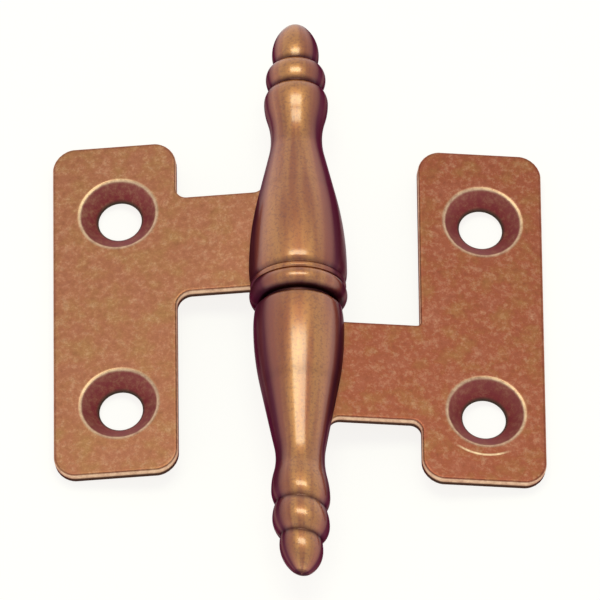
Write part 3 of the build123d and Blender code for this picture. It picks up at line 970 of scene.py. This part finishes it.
def polished_copper(name, finish):
    """Antique copper plate on turned brass, polished on the lathe and lacquered.
    The eye sees long highlights, reddish and golden streaks along the turning painted as
    reflections, painted dark purple shade towards the outline, dark patina in the grooves and
    painted shade on the ring's underside."""

    def look(tree, place):
        # Streaks along the pin, 1.2 mm wide and some 12 mm long, painted as reflections of light
        # and dark bands:
        # places are first drawn onto one cylinder of 4 mm radius and drawn out tenfold along it,
        # so that the streaks keep their width down the whole turning
        vector = "ShaderNodeVectorMath"
        centred = combine(tree, "SUBTRACT", place, (0, 0, AXIS_Z), kind=vector)
        spoke = combine(tree, "MULTIPLY", centred, (1, 0, 1), kind=vector)
        spoke = add(tree, vector, {0: spoke}, operation="NORMALIZE").outputs[0]
        along = combine(tree, "MULTIPLY", centred, (0, 0.1, 0), kind=vector)
        radius = (4 * MM, 4 * MM, 4 * MM)
        drawn = add(tree, vector, {0: spoke, 1: radius, 2: along}, operation="MULTIPLY_ADD")
        streaks = noise(tree, drawn.outputs[0], 1.2, 2, 0.4)
        red = ramp(tree, streaks, 0.42, 0.66, 0, 0.7)

        # Dark specks 0.3 mm across
        specks = ramp(tree, noise(tree, place, 0.3, 2, 0.7), 0.52, 0.34, 0, 0.35)

        # Painted shade round the sides, away from the front: reddish first, and then nearly black
        front_unshaded = mark(tree, "front_unshaded")
        painted_red_shade = ramp(tree, front_unshaded, 1, 0.65, 0, 0.8)
        painted_dark_shade = ramp(tree, front_unshaded, 0.75, 0.12, 0, 1)
        sides = combine(tree, "MULTIPLY", painted_dark_shade, ramp(tree, streaks, 0.45, 0.7, 1, 0.7))

        # Patina packed in the grooves and painted shade on the ring's underside, uneven in clouds
        # of 3 mm
        clouds = noise(tree, place, 3, 4, 0.6)
        uneven = ramp(tree, clouds, 0.3, 0.7, 0.8, 1)
        packed = combine(tree, "MULTIPLY", mark(tree, "hollow"), uneven)

        # The lacquer is left where there is no such patina or painted shade. Its orange peel is 0.5
        # mm across
        matt = combine(tree, "MAXIMUM", packed, sides)
        peel = noise(tree, place, 0.5, 2)
        return {
            "Base Color": layered(
                tree,
                finish.knuckle_brown,
                (red, finish.knuckle_red_reflection_and_shade),
                (specks, finish.knuckle_dark_and_side_shade),
                (painted_red_shade, finish.knuckle_red_reflection_and_shade),
                (sides, finish.knuckle_dark_and_side_shade),
                (packed, finish.groove_dark_and_underside_shade),
            ),
            "Metallic": 1.0,
            "Roughness": ramp(tree, clouds, 0.3, 0.7, 0.42, 0.5),
            "Normal": relief(tree, peel, 0.01, 0.5),
            "Specular Tint": finish.knuckle_grazing,
            "Coat Weight": combine(tree, "SUBTRACT", 1, matt, use_clamp=True),
            "Coat Roughness": 0.18,
            "Coat IOR": 1.75,
        }

    return metal(name, look)


def ground_steel(finish):
    """Bright ground steel of the pin: clean grey, with fine grinding marks round it."""

    def look(tree, place):
        # The marks run round the pin, 0.06 mm apart along it, and are drawn out twentyfold
        drawn = add(tree, "ShaderNodeMapping", {"Vector": place, "Scale": (0.05, 1, 0.05)})
        lines = noise(tree, drawn.outputs[0], 0.06, 2)
        return {
            "Base Color": finish.steel,
            "Metallic": 1.0,
            "Roughness": ramp(tree, lines, 0.3, 0.7, 0.22, 0.36),
            "Normal": relief(tree, lines, 0.004, 0.5),
        }

    return metal("ground_steel", look)


class HINGE_OT_stage(bpy.types.Operator):
    """Set up the white table, the overhead softbox and the camera"""

    bl_idname = "hinge.stage"
    bl_label = "Stage"

    def execute(self, context):
        scene, stage = context.scene, context.scene.hinge.stage
        scene.view_settings.view_transform = "Standard"
        floor = white_table(stage)
        softbox(stage)
        scene.world = light_tent(stage)
        scene.camera = table_camera(stage)
        return {"FINISHED"}


def white_table(stage):
    """A flat square of one face, seen as white and still taking the hinge's shadow."""
    half = stage.table_side / 2
    corners = [(-half, -half, 0), (half, -half, 0), (half, half, 0), (-half, half, 0)]
    mesh = bpy.data.meshes.new("white_table")
    mesh.from_pydata(corners, [], [(0, 1, 2, 3)])
    floor = in_scene("white_table", mesh)
    material = bpy.data.materials.new("white_acrylic_table")
    tree = emptied(material)
    # Light comes up through the sheet: seen, or mirrored in metal, it adds to what the lamps
    # give, and the sum is white
    ray = add(tree, "ShaderNodeLightPath").outputs
    seen = combine(tree, "ADD", ray["Is Camera Ray"], ray["Is Glossy Ray"])
    seen = combine(tree, "ADD", seen, ray["Is Transmission Ray"], use_clamp=True)
    glow = combine(tree, "MULTIPLY", seen, stage.table_glow)
    matt = add(tree, "ShaderNodeBsdfDiffuse", {"Color": stage.table_grey})
    lit = add(tree, "ShaderNodeEmission", {"Color": stage.white, "Strength": glow})
    both = add(tree, "ShaderNodeAddShader", {0: matt.outputs[0], 1: lit.outputs[0]})
    add(tree, "ShaderNodeOutputMaterial", {"Surface": both.outputs[0]})
    mesh.materials.append(material)
    return floor


def softbox(stage):
    """Softbox nearly overhead, tilted a little to the far side."""
    light = bpy.data.lights.new("softbox", "AREA")
    light.shape = "RECTANGLE"
    light.size, light.size_y = stage.box_width, stage.box_depth
    light.energy = stage.box_power
    light.color = stage.box_colour[:3]
    lamp = in_scene("softbox", light)
    towards = Vector((0, sin(stage.box_tilt), cos(stage.box_tilt)))
    lamp.location = towards * stage.box_height
    lamp.rotation_mode = "QUATERNION"
    lamp.rotation_quaternion = towards.to_track_quat("Z", "Y")


def light_tent(stage):
    """A pale tent of light: white at the horizon, and dimmer overhead."""
    world = bpy.data.worlds.new("room")
    tree = emptied(world)
    direction = add(tree, "ShaderNodeTexCoord").outputs["Generated"]
    height = add(tree, "ShaderNodeSeparateXYZ", {0: direction}).outputs["Z"]
    strength = ramp(tree, height, 0, stage.tent_rise, 1, stage.tent_top)
    tent = add(tree, "ShaderNodeBackground", {"Color": stage.white, "Strength": strength})
    add(tree, "ShaderNodeOutputWorld", {"Surface": tent.outputs[0]})
    return world


def table_camera(stage):
    """Long lens from the near side, placed so that the hinge fills the picture as it was taken."""
    azimuth, elevation, roll = stage.azimuth, stage.elevation, stage.roll
    level, upwards = Vector((cos(azimuth), sin(azimuth), 0)), Vector((0, 0, sin(elevation)))
    back = Vector((sin(azimuth), -cos(azimuth), 0)) * cos(elevation) + upwards
    upright = back.cross(level)
    right = cos(roll) * level + sin(roll) * upright
    up = cos(roll) * upright - sin(roll) * level
    lens = bpy.data.cameras.new("camera")
    lens.sensor_width = 36  # millimetres, a full frame
    lens.lens = lens.sensor_width * stage.distance / stage.frame_width
    lens.clip_start, lens.clip_end = 0.05, 20  # metres
    camera = in_scene("camera", lens)
    aim = Vector((0, 0, stage.aim_height)) + stage.right_shift * right + stage.up_shift * up
    turn = Matrix((right, up, back)).transposed().to_4x4()
    camera.matrix_world = Matrix.Translation(aim + stage.distance * back) @ turn
    return camera


GROUPS = {
    "leaf": (LeafSizes, "Leaves"),
    "upper": (UpperKnuckleSizes, "Upper knuckle"),
    "lower": (LowerKnuckleSizes, "Lower knuckle"),
    "joint": (JointSizes, "Joint"),
    "finish": (Finishes, "Finish"),
    "stage": (StageSizes, "Stage"),
}


class Hinge(bpy.types.PropertyGroup):
    """Everything that a user would change, by piece."""

    __annotations__ = {
        name: PointerProperty(type=kind, name=label, description=kind.__doc__)
        for name, (kind, label) in GROUPS.items()
    }


class HINGE_PT_panel(bpy.types.Panel):
    """Lists the hinge's pieces and their sizes"""

    bl_idname = "HINGE_PT_panel"
    bl_label = "Cabinet Hinge"
    bl_space_type = "VIEW_3D"
    bl_region_type = "UI"
    bl_category = "Hinge"

    def draw(self, context):
        for operator in OPERATORS:
            self.layout.operator(operator.bl_idname)
        for name, (kind, label) in GROUPS.items():
            box = self.layout.box()
            box.label(text=label)
            for size in kind.__annotations__:
                box.prop(getattr(context.scene.hinge, name), size)


OPERATORS = (
    HINGE_OT_leaf,
    HINGE_OT_upper_knuckle,
    HINGE_OT_lower_knuckle,
    HINGE_OT_ring,
    HINGE_OT_pin,
    HINGE_OT_stage,
)
CLASSES = (*[kind for kind, label in GROUPS.values()], Hinge, *OPERATORS, HINGE_PT_panel)


def register():
    for kind in CLASSES:
        bpy.utils.register_class(kind)
    bpy.types.Scene.hinge = PointerProperty(
        type=Hinge, name="Hinge", description="The hinge's sizes and finishes"
    )


def unregister():
    del bpy.types.Scene.hinge
    for kind in reversed(CLASSES):
        bpy.utils.unregister_class(kind)


def main():
    """Registers the add-on, and makes every piece and the stage."""
    register()
    bpy.ops.hinge.leaf(half="upper")
    bpy.ops.hinge.leaf(half="lower")
    bpy.ops.hinge.upper_knuckle()
    bpy.ops.hinge.lower_knuckle()
    bpy.ops.hinge.ring()
    bpy.ops.hinge.pin()
    bpy.ops.hinge.stage()


if __name__ == "__main__":
    main()
